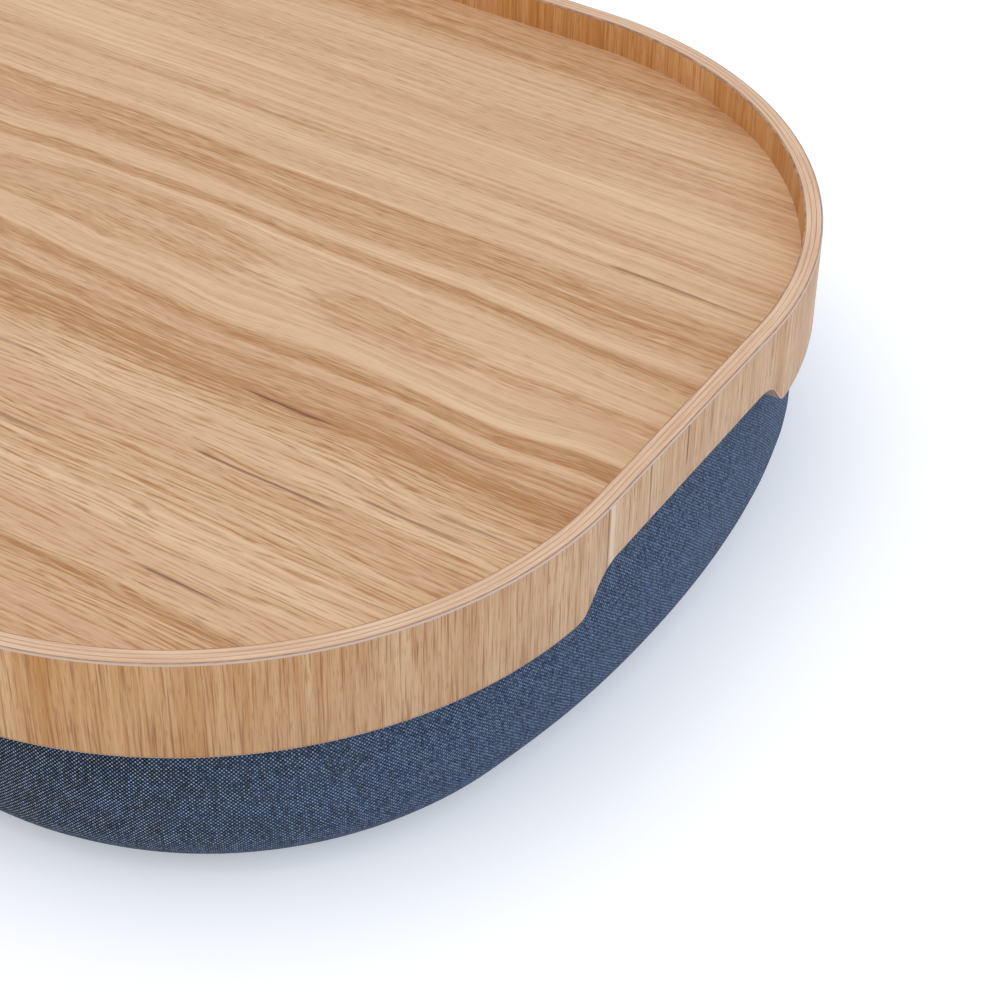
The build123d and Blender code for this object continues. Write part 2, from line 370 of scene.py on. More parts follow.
def upright_ash(name, light, middle, dark, painted_end_colour, line_marks=()):
    """Ash veneer whose grain stands upright on the rim, from its map in metres.

    Towards the tray's ends it turns partly to the end colour, which is painted light:
    paler for a painted reflection on the outer face, darker for painted shade on the
    lining. Each line mark is an upright line: its place along the hoop, its foot and
    its width in millimetres, its strength and its colour.
    """
    made, add = new_finish(name)
    spot = add("VectorMath SCALE", add("UVMap", uv_map="map"), 1 / mm)
    tone_bands = add("MapRange", grain(add, spot, ash_band, 3.0), 0.3, 0.7, 0.0, 0.9)
    tone_lines = add("MapRange", grain(add, spot, ash_line, 3.0), 0.3, 0.7, -0.3, 0.34)
    long_mask = add("MapRange", grain(add, spot, long_pore, 2.0), 0.5, 0.74, 0.0, 0.8)
    short_mask = add("MapRange", grain(add, spot, short_pore, 1.0, 0.5), 0.58, 0.78, 0.0, 0.5)
    pore_mask = add("Math MAXIMUM", long_mask, short_mask)
    tone = add("Math ADD", tone_bands, tone_lines, use_clamp=True)
    ground = add("Mix RGBA", tone, light, middle)
    # Painted light towards both ends: paler for a painted reflection on the outer face, darker for
    # painted shade on the lining.
    painted_wall_end_light = add("MapRange", from_middle(add), wall_end_light_start, rim_high.x, 0.0, 0.3)
    ground = add("Mix RGBA", painted_wall_end_light, ground, painted_end_colour)
    face_colour = add("Mix RGBA", pore_mask, ground, dark)

    along, height, _ = add("SeparateXYZ", spot).outputs
    for start, foot, width, strength, line_colour in line_marks:
        begun = add("MapRange", along, start, start + width / 4, 0.0, strength)
        ended = add("MapRange", along, start + width / 2, start + width, 1.0, 0.0)
        above = add("MapRange", height, foot, foot + line_fade)
        mark = add("Math MULTIPLY", add("Math MULTIPLY", begun, ended), above)
        face_colour = add("Mix RGBA", mark, face_colour, line_colour)
    # Painted shade: a dark reddish line along the wall's foot, where it meets the cloth below.
    foot_height = rim_low.z / mm
    painted_foot_shade = add("MapRange", height, foot_height, foot_height + foot_shade_width, 0.7, 0.0)
    face_colour = add("Mix RGBA", painted_foot_shade, face_colour, "#7A4A2C")

    edge = add("Attribute", attribute_name="edge").outputs["Fac"]
    depth = add("Attribute", attribute_name="depth").outputs["Fac"]
    depth_mm = add("Math MULTIPLY", depth, 1 / mm)
    end_tone = add("MapRange", grain(add, spot, end_dot, 2.0), 0.35, 0.65)
    end_grain = add("Mix RGBA", end_tone, "#C29C7C", "#94705A")
    # Painted highlight: a pale band along the eased outer arris of the cut edges, where the lacquer
    # catches the light.
    painted_arris_highlight = add("MapRange", depth_mm, *arris_highlight_width, 0.85, 0.0, interpolation_type="SMOOTHSTEP")
    end_grain_with_painted_highlight = add("Mix RGBA", painted_arris_highlight, end_grain, "#DFC8B4")
    colour = add("Mix RGBA", edge, face_colour, end_grain_with_painted_highlight)
    relief = add("Math SUBTRACT", 0.0, pore_mask)
    bump = add("Bump", sockets={"Strength": 0.35, "Distance": pore_depth, "Height": relief})
    return finished(made, {
        "Base Color": colour, "Roughness": 0.5, "Specular IOR Level": 0.3, "Normal": bump,
    })


face_veneer = 0.6 * mm
veneer_joint = -51 * mm
veneer_joint_gap = 0.15 * mm
joint_lines = (
    (-50.4, 45.0, 4.4, 0.8, "#F2D8B6"), (-51.6, 45.0, 1.2, 1.0, "#4A3325"),
    (-27.0, 58.0, 0.9, 0.7, "#6E5140"), (-5.0, 74.0, 1.0, 0.9, "#4F382A"),
)
# The wall's last colour is a painted reflection, paler towards the tray's ends.
wall_colours = ("#E6BA86", "#CB9050", "#9C6236", "#DCC3AA")
wall_ash = upright_ash("lacquered_upright_ash_veneer", *wall_colours, joint_lines)
outer_section = full_layer(0.0, face_veneer)
outer_face = bent_strip("outer_face_veneer", [outer_section], veneer_joint, veneer_joint_gap)
fit(outer_face, wall_ash, "face_veneer", "tray", "rim_outer_veneer")

deck_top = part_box("deck_top_veneer")[1].z
deck_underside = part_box("deck_backing_veneer")[0].z
inner_face_near = rim_thickness - face_veneer


def upper_wall(y):
    """Outline of the inner face veneer above the deck, in the tray's well."""
    foot = [(inner_face_near, deck_top, 0), (rim_thickness, deck_top, 0)]
    return foot + layer_edge(rim_thickness, inner_face_near, top_ease, rim_high.z, -1)


def lower_wall(y):
    """Outline of the inner face veneer below the deck, behind the cushion's top."""
    foot = layer_edge(inner_face_near, rim_thickness, foot_ease, rim_low.z + notch_lift(y), 1)
    return foot + [(rim_thickness, deck_underside, 0), (inner_face_near, deck_underside, 0)]


inner_face = bent_strip("inner_face_veneer", [upper_wall, lower_wall])
# The lining's colours are the wall's ash painted darker and more orange, for the shade and the deck's
# warm bounce light in the well; its last colour is painted shade towards the ends.
shaded_well_colours = ("#DEAA72", "#C58644", "#A56C3C", "#84532A")
shaded_well_ash = upright_ash("lacquered_upright_ash_lining", *shaded_well_colours)
fit(inner_face, shaded_well_ash, "face_veneer", "tray", "rim_inner_veneer")

# Long-grain beech plies, peeled and glued under heat: even pale wood with fine streaks
# along the hoop, and a thin darker line of glue between one ply and the next.

beech_streak = (26, 0.35, 0.8)
beech_flake = (2.2, 0.22, 0.8)
glue_width = (0.15, 0.5)


def long_grain_beech(name, near, far):
    """Beech ply seen on its edge, with streaks along the hoop and a glue line on each side."""
    made, add = new_finish(name)
    spot = add("VectorMath SCALE", add("UVMap", uv_map="map"), 1 / mm)
    along, height, _ = add("SeparateXYZ", spot).outputs
    depth = add("Attribute", attribute_name="depth").outputs["Fac"]
    depth_mm = add("Math MULTIPLY", depth, 1 / mm)
    place = add("CombineXYZ", along, depth_mm, height)
    streaks = grain(add, place, beech_streak, 3.0, 0.5)
    flake_mask = add("MapRange", grain(add, place, beech_flake, 1.0, 0.5), 0.6, 0.72, 0.0, 0.35)
    tone = add("MapRange", streaks, 0.34, 0.66)
    ground = add("Mix RGBA", tone, "#E5C9A8", "#D2A888")
    flecked = add("Mix RGBA", flake_mask, ground, "#C08F6A")
    from_near = add("Math SUBTRACT", depth_mm, near / mm)
    from_far = add("Math SUBTRACT", far / mm, depth_mm)
    from_glue = add("Math MINIMUM", from_near, from_far)
    glue_reach = add("MapRange", streaks, 0.35, 0.65, *glue_width)
    glue = add("MapRange", from_glue, 0.0, glue_reach, 0.6, 0.0)
    colour = add("Mix RGBA", glue, flecked, "#C08D6E")
    return finished(made, {"Base Color": colour, "Roughness": 0.5, "Specular IOR Level": 0.35})


rim_ply = 1.6 * mm
glue_line = 0.05 * mm
groove_depth = 1.4 * mm
groove_floor = rim_thickness - groove_depth
inner_ply_near = face_veneer + 2 * rim_ply + 3 * glue_line
inner_ply_far = inner_ply_near + rim_ply


def grooved_layer(y):
    """Outline of the inner ply, with the groove that holds the deck's edge."""
    foot = layer_edge(inner_ply_near, inner_ply_far, foot_ease, rim_low.z + notch_lift(y), 1)
    groove = [
        (inner_ply_far, deck_underside, 0),
        (groove_floor, deck_underside, 0),
        (groove_floor, deck_top, 0),
        (inner_ply_far, deck_top, 0),
    ]
    return foot + groove + layer_edge(inner_ply_far, inner_ply_near, top_ease, rim_high.z, -1)


for number, ply_name in enumerate(("rim_outer_ply", "rim_middle_ply", "rim_inner_ply")):
    ply_near = face_veneer + number * rim_ply + (number + 1) * glue_line
    ply_far = ply_near + rim_ply
    outline = grooved_layer if ply_name == "rim_inner_ply" else full_layer(ply_near, ply_far)
    ply = bent_strip(ply_name + "_strip", [outline])
    fit(ply, long_grain_beech(ply_name + "_beech", ply_near, ply_far), "rim_ply", "tray", ply_name)

# Deck: five layers of wood pressed flat and held in the rim's groove. Its top is one
# crown-cut leaf of ash with the grain along the tray: straight dark-pored stripes in
# front, wavy golden lines round long eyes in the middle, and pale stripes behind.

deck_stripes = [
    (-190, 0.40), (-160, 0.24), (-148, 0.34), (-144, 0.70), (-140, 0.16), (-130, 0.18),
    (-116, 0.04), (-108, 0.22), (-97, 0.30), (-88, 0.28), (-76, 0.12), (-68, 0.10),
    (-60, 0.30), (-53, 0.60), (-49, 0.80), (-44, 0.62), (-40, 0.38), (-37, 0.68),
    (-35, 0.60), (-33, 0.28), (-30, 0.28), (-28, 0.74), (-23, 0.60), (-21, 0.12),
    (-8, 0.16),
]
deck_stripes_behind = [
    (-8, 0.16), (14, 0.20), (22, 0.18), (25, 0.56), (29, 0.68), (30, 0.20),
    (34, 0.12), (38, 0.42), (44, 0.64), (49, 0.46), (56, 0.62), (57, 0.50),
    (59, 0.16), (66, 0.22), (67, 0.36), (70, 0.14), (79, 0.18), (83, 0.40),
    (88, 0.16), (94, 0.08), (104, 0.12), (108, 0.0), (112, 0.24), (132, 0.30),
    (146, 0.16), (158, 0.30), (168, 0.62), (178, 0.44), (190, 0.40),
]
deck_eyes = [(50, 4, 76, 17), (168, 1, 40, 11), (236, 1, 44, 6), (-80, 8, 60, 14), (-205, 4, 55, 10)]
eye_rings = [
    (0.0, 0.42), (0.18, 0.50), (0.32, 0.39), (0.48, 0.52), (0.60, 0.41), (0.72, 0.54),
    (0.82, 0.43), (0.92, 0.24), (1.0, 0.06),
]
deck_marks = [
    (147, 187, -50, 0.9), (227, 262, -67, 0.6), (205, 250, -74, 0.6), (152, 210, -83, 0.7),
    (152, 168, -117, 0.6), (170, 208, -132, 0.8), (206, 262, 68, 0.6), (-40, 10, -62, 0.7),
    (-160, -110, -96, 0.7), (60, 95, -71, 0.5), (90, 120, -101, 0.5), (196, 240, -38, 0.5),
]
mark_start = 6.0
mark_end = 12.0
mark_core = 0.1

# The leaf's own patterns, as lengths along and across it in millimetres: its slow wave,
# feathered eyes, flecks, wandering year lines and their dashes, streaks, blush and pores.

leaf_wave = (105, 70)
wave_middle = 42.0
wave_swing = 17.0
wave_least = 3.5
tilt_run = (40.0, 220.0)
tilt_rise = (-2.0, 3.0)
leaf_feather = (26, 2.6)
leaf_fleck = (14, 0.8)
year_line = 2.0
year_drift = (70, 7)
year_wander = 26.0
year_dash = (12, 1.1)
front_lines = (-24.0, -58.0)
back_lines = (36.0, 60.0)
leaf_streak = (150, 1.7)
leaf_blush = (220, 16)
leaf_pore = (7, 0.4)


def crown_cut_ash(name, seed, marks=()):
    """Ash veneer laid flat, with its grain along X, from the piece's own coordinates.

    Each mark is a thin dark line: where it starts and ends along the tray, its place
    across the grain, in millimetres, and its strength.
    """
    made, add = new_finish(name)
    spot = add("VectorMath SCALE", add("TexCoord").outputs["Object"], 1 / mm)
    moved = add("VectorMath ADD", spot, (seed, seed / 3, seed))
    along, across, _ = add("SeparateXYZ", spot).outputs

    wave = add("Math SUBTRACT", grain(add, moved, leaf_wave, 1.5, 0.5), 0.5)
    middle_share = add("Math DIVIDE", across, wave_middle)
    middle_square = add("Math MULTIPLY", middle_share, middle_share)
    middle_bell = add("Math EXPONENT", add("Math SUBTRACT", 0.0, middle_square))
    swing = add("Math MULTIPLY_ADD", middle_bell, wave_swing, wave_least)
    warp = add("Math MULTIPLY", wave, swing)
    slope = add("MapRange", along, *tilt_run, *tilt_rise)
    tilt = add("Math MULTIPLY", slope, middle_bell)
    growth = add("Math ADD", add("Math ADD", across, warp), tilt)

    stripe_tones = []
    for stripes in (deck_stripes, deck_stripes_behind):
        first, last = stripes[0][0], stripes[-1][0]
        share = add("MapRange", growth, first, last)
        tones = [((place - first) / (last - first), tone) for place, tone in stripes]
        stripe_tones.append(add("ValToRGB", share, tones=tones))
    behind = add("Math GREATER_THAN", growth, deck_stripes[-1][0])
    tone = add("Mix RGBA", behind, *stripe_tones)

    growth_spot = add("CombineXYZ", along, growth, seed)
    feather = grain(add, growth_spot, leaf_feather, 3.0)
    edge_shift = add("MapRange", feather, 0.3, 0.7, -0.16, 0.16)
    for eye_along, eye_across, reach, half_width in deck_eyes:
        from_eye = add("VectorMath SUBTRACT", growth_spot, (eye_along, eye_across, 0))
        shares = add("VectorMath MULTIPLY", from_eye, (1 / reach, 1 / half_width, 0))
        rough_far = add("Math ADD", add("VectorMath LENGTH", shares), edge_shift)
        tone = add("Math MAXIMUM", tone, add("ValToRGB", rough_far, tones=eye_rings))
    fleck_share = add("MapRange", grain(add, growth_spot, leaf_fleck, 2.0), 0.32, 0.68, 0.68, 1.34)
    tone = add("Math MULTIPLY", tone, fleck_share)

    drift = grain(add, growth_spot, year_drift, 2.0, 0.5)
    drift_turn = add("Math MULTIPLY", drift, year_wander)
    year_turns = add("Math MULTIPLY_ADD", growth, 2 * pi / year_line, drift_turn)
    year_lines = add("MapRange", add("Math SINE", year_turns), 0.0, 0.95)
    dash_mask = add("MapRange", grain(add, growth_spot, year_dash, 3.0), 0.34, 0.6)
    line_mask = add("Math MULTIPLY", year_lines, dash_mask)
    front_share = add("MapRange", across, *front_lines, 0.08, 0.66)
    back_share = add("MapRange", across, *back_lines, 0.0, 0.1)
    line_share = add("Math ADD", front_share, back_share)
    line_tone = add("Math MULTIPLY", line_mask, line_share)
    streak_tone = add("MapRange", grain(add, growth_spot, leaf_streak, 3.0), 0.3, 0.7, -0.17, 0.29)
    lined = add("Math ADD", tone, line_tone)
    full_tone = add("Math ADD", lined, streak_tone, use_clamp=True)

    ground = add("Mix RGBA", full_tone, "#E2C098", "#B2804F")
    blush_share = add("MapRange", grain(add, moved, leaf_blush, 2.0, 0.5), 0.45, 0.7, 0.0, 0.3)
    ground = add("Mix RGBA", blush_share, ground, "#C99A76")
    pore_mask = add("MapRange", grain(add, growth_spot, leaf_pore, 1.0, 0.5), 0.58, 0.74)
    tone_weight = add("MapRange", full_tone, 0.0, 0.6, 0.05, 0.4)
    pore_share = add("Math MULTIPLY", pore_mask, tone_weight)
    colour = add("Mix RGBA", pore_share, ground, "#8E5F3A")

    wavering = add("MapRange", feather, 0.3, 0.7, 0.4, 1.2)
    for low, high, place, strength in marks:
        start = add("MapRange", along, low, low + mark_start, 0.0, strength)
        end = add("MapRange", along, high - mark_end, high, 1.0, 0.0)
        aside = add("Math ABSOLUTE", add("Math SUBTRACT", growth, place))
        thin = add("MapRange", aside, mark_core, wavering, 1.0, 0.0)
        mark = add("Math MULTIPLY", add("Math MULTIPLY", start, end), thin)
        colour = add("Mix RGBA", mark, colour, "#673A24")

    relief = add("Math SUBTRACT", 0.0, pore_mask)
    bump = add("Bump", sockets={"Strength": 0.3, "Distance": pore_depth, "Height": relief})
    return finished(made, {
        "Base Color": colour, "Roughness": 0.5, "Specular IOR Level": 0.3, "Normal": bump,
    })


def refinish(name, material):
    """Give a CAD node's own object a finish in place of its plain one."""
    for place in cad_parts[name].material_slots:
        place.material = material


refinish("deck_top_veneer", crown_cut_ash("lacquered_crown_cut_ash_veneer", 0.0, deck_marks))
refinish("deck_backing_veneer", crown_cut_ash("backing_ash_veneer", 37.0))


# Core plies of the deck: rotary-cut birch, laid crosswise in turn. Only their edges
# could ever show, so they are plain pale wood with the fine lines of a knife cut.

def rotary_birch(name, streak):
    """Birch core veneer, with streaks of a size in millimetres along its own grain."""
    made, add = new_finish(name)
    spot = add("VectorMath SCALE", add("TexCoord").outputs["Object"], 1 / mm)
    tone = add("MapRange", grain(add, spot, streak, 3.0, 0.5), 0.35, 0.65)
    colour = add("Mix RGBA", tone, "#E4CBA4", "#CDAA7C")
    return finished(made, {"Base Color": colour, "Roughness": 0.62})


long_birch_streak = (40, 0.6, 0.3)
cross_birch_streak = (0.6, 40, 0.3)
cross_birch = rotary_birch("cross_grain_birch_core", cross_birch_streak)
refinish("deck_upper_ply", cross_birch)
refinish("deck_cross_ply", rotary_birch("long_grain_birch_core", long_birch_streak))
refinish("deck_lower_ply", cross_birch)

# Cushion cover: base, sides and a turned-in flange, sewn from a plain weave of navy
# yarn crossed by pale grey-blue yarn and pulled tight over the bag of beads.

cover_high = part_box("cover_body")[1]
belly_x = cover_high.x
belly_y = cover_high.y
end_bow_radius = 370 * mm
side_bow_radius = 1800 * mm
cushion_corner_radius = 121 * mm
end_centre = belly_x - end_bow_radius
side_centre = belly_y - side_bow_radius
end_reach = end_bow_radius - cushion_corner_radius
side_reach = side_bow_radius - cushion_corner_radius
bow_span = hypot(end_centre, side_centre)
bow_along = (end_reach**2 - side_reach**2 + bow_span**2) / (2 * bow_span)
bow_aside = sqrt(end_reach**2 - bow_along**2)
corner_x = end_centre + (-bow_along * end_centre - bow_aside * side_centre) / bow_span
corner_y = (bow_along * side_centre - bow_aside * end_centre) / bow_span
end_angle = atan2(corner_y, corner_x - end_centre)
side_angle = atan2(corner_y - side_centre, corner_x)


def cushion_columns(step):
    """Upright columns round the belly: arc centre, radius, angle and length so far."""
    corner_turn = side_angle - end_angle
    arcs = [
        (end_centre, 0, end_bow_radius, -end_angle, 2 * end_angle),
        (corner_x, corner_y, cushion_corner_radius, end_angle, corner_turn),
        (0, side_centre, side_bow_radius, side_angle, pi - 2 * side_angle),
        (-corner_x, corner_y, cushion_corner_radius, pi - side_angle, corner_turn),
        (-end_centre, 0, end_bow_radius, pi - end_angle, 2 * end_angle),
        (-corner_x, -corner_y, cushion_corner_radius, pi + end_angle, corner_turn),
        (0, -side_centre, side_bow_radius, pi + side_angle, pi - 2 * side_angle),
        (corner_x, -corner_y, cushion_corner_radius, -side_angle, corner_turn),
    ]
    columns = []
    along = 0.0
    for centre_x, centre_y, radius, start, sweep in arcs:
        count = ceil(radius * sweep / step)
        for part in range(count):
            angle = start + sweep * part / count
            columns.append((centre_x, centre_y, radius, angle, along + radius * sweep * part / count))
        along += radius * sweep
    return columns, along


def cushion_place(column, draw):
    """Plan place on a column, drawn in from the belly."""
    centre_x, centre_y, radius, angle, _ = column
    return centre_x + (radius - draw) * cos(angle), centre_y + (radius - draw) * sin(angle)


base_round = 18 * mm
shoulder_round = 6 * mm
shoulder_height = cover_high.z - shoulder_round
side_knots = [
    (base_round, 0.0, 0.0),
    ((base_round + rim_low.z) / 2, 0.8 * mm, 0.135),
    (rim_low.z, 5.0 * mm, 0.22),
    (shoulder_height, 6.6 * mm, 0.06),
]
shoulder_draw = side_knots[-1][1]


def side_draw(height):
    """How far the side is drawn in from the belly at a height."""
    for (low, low_draw, low_lean), (high, high_draw, high_lean) in zip(side_knots, side_knots[1:]):
        if height <= high:
            break
    run = high - low
    share = (height - low) / run
    bend = (high_draw - low_draw) / run
    rise = share**2 * (3 - 2 * share)
    lean = low_lean * share * (1 - share)**2 - high_lean * share**2 * (1 - share)
    return low_draw + bend * run * rise + lean * run


side_steps = 18
round_steps = 8


def cushion_levels(shrink, top):
    """Levels of the cushion's side from the floor to its top, as draws and heights."""
    base = base_round - shrink
    shoulder = shoulder_round - shrink
    levels = []
    for step in range(round_steps + 1):
        angle = quarter_turn * step / round_steps
        levels.append((base_round - base * sin(angle), base_round - base * cos(angle)))
    shoulder_start = top - shoulder
    for step in range(1, side_steps):
        height = base_round + (shoulder_start - base_round) * step / side_steps
        levels.append((side_draw(min(height, shoulder_height)) + shrink, height))
    for step in range(round_steps + 1):
        angle = quarter_turn * step / round_steps
        draw = shoulder_draw + shoulder_round - shoulder * cos(angle)
        levels.append((draw, shoulder_start + shoulder * sin(angle)))
    return levels


base_rings = 24
cover_step = 3 * mm


def cushion_shell(name, levels, closed_below=False, closed_above=False, uneven=None):
    """Mesh of a skin round the cushion through its levels, closed by flat rings at either end.

    The map runs round the cushion and up its side, and straight across the flat ends.
    """
    columns, girth = cushion_columns(cover_step)
    count = len(columns)
    points, faces, maps = [], [], []
    climb = [0.0]
    for (draw, height), (next_draw, next_height) in zip(levels, levels[1:]):
        climb.append(climb[-1] + hypot(next_draw - draw, next_height - height))
    for draw, height in levels:
        for column in columns:
            place = cushion_place(column, draw)
            if uneven:
                place = cushion_place(column, draw - uneven(place, height))
            points.append((*place, height))
    for row in range(len(levels) - 1):
        for column in range(count):
            after = (column + 1) % count
            here = columns[column][4]
            there = columns[column + 1][4] if after else girth
            low = row * count
            high = low + count
            faces.append((low + column, low + after, high + after, high + column))
            square = ((here, row), (there, row), (there, row + 1), (here, row + 1))
            maps += [(along, climb[level]) for along, level in square]
    for wanted, row, turned in ((closed_below, 0, 1), (closed_above, len(levels) - 1, -1)):
        if not wanted:
            continue
        outer = row * count
        rim = points[outer:outer + count]
        for ring in range(1, base_rings + 1):
            share = 1 - ring / base_rings
            first = len(points)
            last = ring == base_rings
            points += [(0.0, 0.0, rim[0][2])] if last else [(x * share, y * share, z) for x, y, z in rim]
            for column in range(count):
                after = (column + 1) % count
                if last:
                    face = (outer + column, first, outer + after)
                else:
                    face = (outer + column, first + column, first + after, outer + after)
                face = face[::turned]
                faces.append(face)
                maps += [points[corner][:2] for corner in face]
            outer = first
    return mesh_piece(name, points, faces, maps)


thread_spacing = 6 * mm
bead_pressure = 4
pressure_steps = 20
bulge_limit = 2 * mm
bulge_neighbours = 16


def pressed_side():
    """How far the beads push the cloth out, as a search tree of places and their bulges.

    The cushion's plain form is run as cloth under pressure, held where it stands on
    the floor and where the rim and the deck press on it. Only its result is kept.
    """
    plain_levels = cushion_levels(0.0, cover_high.z)
    form = cushion_shell("pressed_form", plain_levels, closed_below=True, closed_above=True)
    even = form.modifiers.new("even_threads", "REMESH")
    even.mode = "VOXEL"
    even.voxel_size = thread_spacing
    shaped = form.evaluated_get(bpy.context.evaluated_depsgraph_get())
    form.data = bpy.data.meshes.new_from_object(shaped)
    form.modifiers.clear()
    starts = [point.co.copy() for point in form.data.vertices]
    normals = [point.normal.copy() for point in form.data.vertices]
    held = [number for number, start in enumerate(starts) if not thread_spacing / 2 < start.z < rim_low.z]
    form.vertex_groups.new(name="held").add(held, 1.0, "REPLACE")
    cloth = form.modifiers.new("bead_pressure", "CLOTH").settings
    cloth.vertex_group_mass = "held"
    cloth.use_pressure = True
    cloth.uniform_pressure_force = bead_pressure
    cloth.effector_weights.gravity = 0
    for step in range(1, pressure_steps + 1):
        bpy.context.scene.frame_set(step)
    pressed = form.evaluated_get(bpy.context.evaluated_depsgraph_get()).data
    found = kdtree.KDTree(len(starts))
    bulges = []
    for number, (start, normal, point) in enumerate(zip(starts, normals, pressed.vertices)):
        found.insert(start, number)
        bulges.append(max(min((point.co - start).dot(normal), bulge_limit), 0.0))
    found.balance()
    bpy.data.objects.remove(form)
    bpy.context.scene.frame_set(1)
    return found, bulges


side_places, side_bulges = pressed_side()
bead_swell = 0.5 * mm
bead_swell_length = 34 * mm


def swell(place, height):
    """How far the cloth stands out: its bulge under pressure and the beads' unevenness."""
    rise = min(height / base_round, (rim_low.z - height) / base_round, 1)
    if rise <= 0:
        return 0.0
    spot = Vector((place[0], place[1], height))
    uneven = bead_swell * rise * noise.noise(spot / bead_swell_length)
    if not side_places:
        return uneven
    near = side_places.find_n(spot, bulge_neighbours)
    weights = [exp(-(distance / thread_spacing)**2) for _, _, distance in near]
    bulge = sum(weight * side_bulges[number] for weight, (_, number, _) in zip(weights, near))
    return uneven + bulge / sum(weights)


# Plain weave, piece-dyed and unpressed: rows of pale points where the light yarn comes
# over the navy, painted stronger and less warm towards the ends for the cool light there, and blended
# softer there.

warp_pitch = 0.667
weft_pitch = 0.625
weave_drift = (30, 30)
drift_reach = 1.2
yarn_slub = (0.8, 9)
weft_bar = (14, 0.9)
yarn_contrast = 0.45
yarn_relief = 0.15 * mm
cloth_end_light_start = 90 * mm


def plain_weave(name, dark, slub, light, warm):
    """Plain weave of navy yarn crossed by pale yarn, from the piece's map in metres."""
    made, add = new_finish(name)
    spot = add("VectorMath SCALE", add("UVMap", uv_map="map"), 1 / mm)
    drift = grain(add, spot, weave_drift, 2.0, 0.5).outputs["Color"]
    drift_centred = add("VectorMath SUBTRACT", drift, (0.5, 0.5, 0.5))
    drift_move = add("VectorMath MULTIPLY", drift_centred, (drift_reach, drift_reach, 0))
    woven = add("VectorMath ADD", spot, drift_move)
    threads = add("VectorMath MULTIPLY", woven, (1 / warp_pitch, 1 / weft_pitch, 0))
    turns = add("VectorMath MULTIPLY", threads, (pi, pi, 0))
    warp_wave, weft_wave, _ = add("SeparateXYZ", add("VectorMath SINE", turns)).outputs
    crossing = add("Math MULTIPLY", warp_wave, weft_wave)
    over = add("MapRange", crossing, 0.1, 0.75, interpolation_type="SMOOTHSTEP")
    cells = add("VectorMath FLOOR", threads)
    cell_noise = add("TexWhiteNoise", cells, noise_dimensions="2D")
    slubs = grain(add, woven, yarn_slub, 2.0)
    bars = grain(add, woven, weft_bar, 2.0)

    # Painted light towards both ends: the pale points are painted stronger and their warm tint is taken
    # out, standing in for the cool window light; the points are also blended softer there.
    cloth_end_light_and_blur = add("MapRange", from_middle(add), cloth_end_light_start, belly_x)
    slub_share = add("MapRange", slubs, 0.42, 0.66, 0.04, 0.3)
    navy = add("Mix RGBA", slub_share, dark, slub)
    bar_share = add("MapRange", bars, 0.38, 0.66, 0.4, 1.1)
    warm_share = add("Math SUBTRACT", bar_share, cloth_end_light_and_blur, use_clamp=True)
    pale = add("Mix RGBA", warm_share, light, warm)
    strength = add("MapRange", cell_noise, 0.0, 1.0, 0.35, 1.1)
    slub_strength = add("MapRange", slubs, 0.3, 0.7, 0.55, 1.05)
    # Painted light: the pale points grow up to 1.4 times stronger towards the ends.
    painted_end_lightening = add("MapRange", cloth_end_light_and_blur, 0.0, 1.0, 1.0, 1.4)
    yarn_strength = add("Math MULTIPLY", slub_strength, painted_end_lightening)
    point_share = add("Math MULTIPLY", strength, yarn_strength)
    raised = add("Math MULTIPLY", over, point_share, use_clamp=True)
    fuzz = add("MapRange", cell_noise, 0.0, 1.0, 0.03, 0.17)
    soft_share = add("Math MULTIPLY_ADD", raised, yarn_contrast, fuzz)
    softness = add("MapRange", cloth_end_light_and_blur, 0.5, 0.95)
    share = add("Mix FLOAT", softness, raised, soft_share)
    colour = add("Mix RGBA", share, navy, pale)

    height = add("Math ABSOLUTE", crossing)
    bump = add("Bump", sockets={"Strength": 0.45, "Distance": yarn_relief, "Height": height})
    return finished(made, {
        "Base Color": colour, "Roughness": 0.9, "Specular IOR Level": 0.2, "Sheen Weight": 0.14,
        "Sheen Roughness": 0.5, "Sheen Tint": "#AEBBD0", "Normal": bump,
    })


def thicken(piece, thickness):
    """Give a sheet its real thickness, inward from the face that is modelled."""
    modifier = piece.modifiers.new("thickness", "SOLIDIFY")
    modifier.thickness = thickness
    modifier.offset = -1


base_seam_draw = 26 * mm
base_seam_half = 1.6 * mm
base_seam_depth = 0.9 * mm
flange_width = 10 * mm
flange_start = shoulder_draw + shoulder_round
flange_end = flange_start + flange_width
cover_cloth = 0.9 * mm
cloth_fill = 0.9
cover_levels = [
    (base_seam_draw + base_seam_half, 0.0),
    (base_seam_draw + base_seam_half / 2, base_seam_depth / 4),
    (base_seam_draw, base_seam_depth),
    (base_seam_draw - base_seam_half / 2, base_seam_depth / 4),
    (base_seam_draw - base_seam_half, 0.0),
    ((base_seam_draw + base_round) / 2, 0.0),
]
cover_levels += cushion_levels(0.0, cover_high.z)
cover_levels += [((flange_start + flange_end) / 2, cover_high.z), (flange_end, cover_high.z)]
cover_weave = plain_weave("navy_plain_weave", "#06090F", "#1D4069", "#A8C2E6", "#D2D6C0")
cover = cushion_shell("cushion_cover", cover_levels, closed_below=True, uneven=swell)
thicken(cover, cover_cloth)
fit(cover, cover_weave, "cover_cloth", "cushion", "cover_body", fill=cloth_fill)

# Top of the cover: a front and a back panel of the same cloth, hemmed along the zip
# and topstitched to the flange with a navy thread.

panel_low, panel_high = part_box("cover_top_back")
panel_top = panel_high.z
panel_draw = belly_x - panel_high.x
panel_gap = panel_low.y
window_half_length = 176 * mm
window_half_width = 6 * mm
hem_steps = ((0.0, 0.4 * mm), (0.3 * mm, 0.12 * mm), (1 * mm, 0.0))
panel_steps = 30
panel_dip = 0.7 * mm
dip_length = 38 * mm
dip_margin = 9 * mm


def panel_dips(x, y, margin):
    """How far the panel sinks between what holds it flat."""
    spot = Vector((x, y, 0)) / dip_length
    return panel_dip * min(margin / dip_margin, 1) * (0.5 + 0.5 * noise.noise(spot))


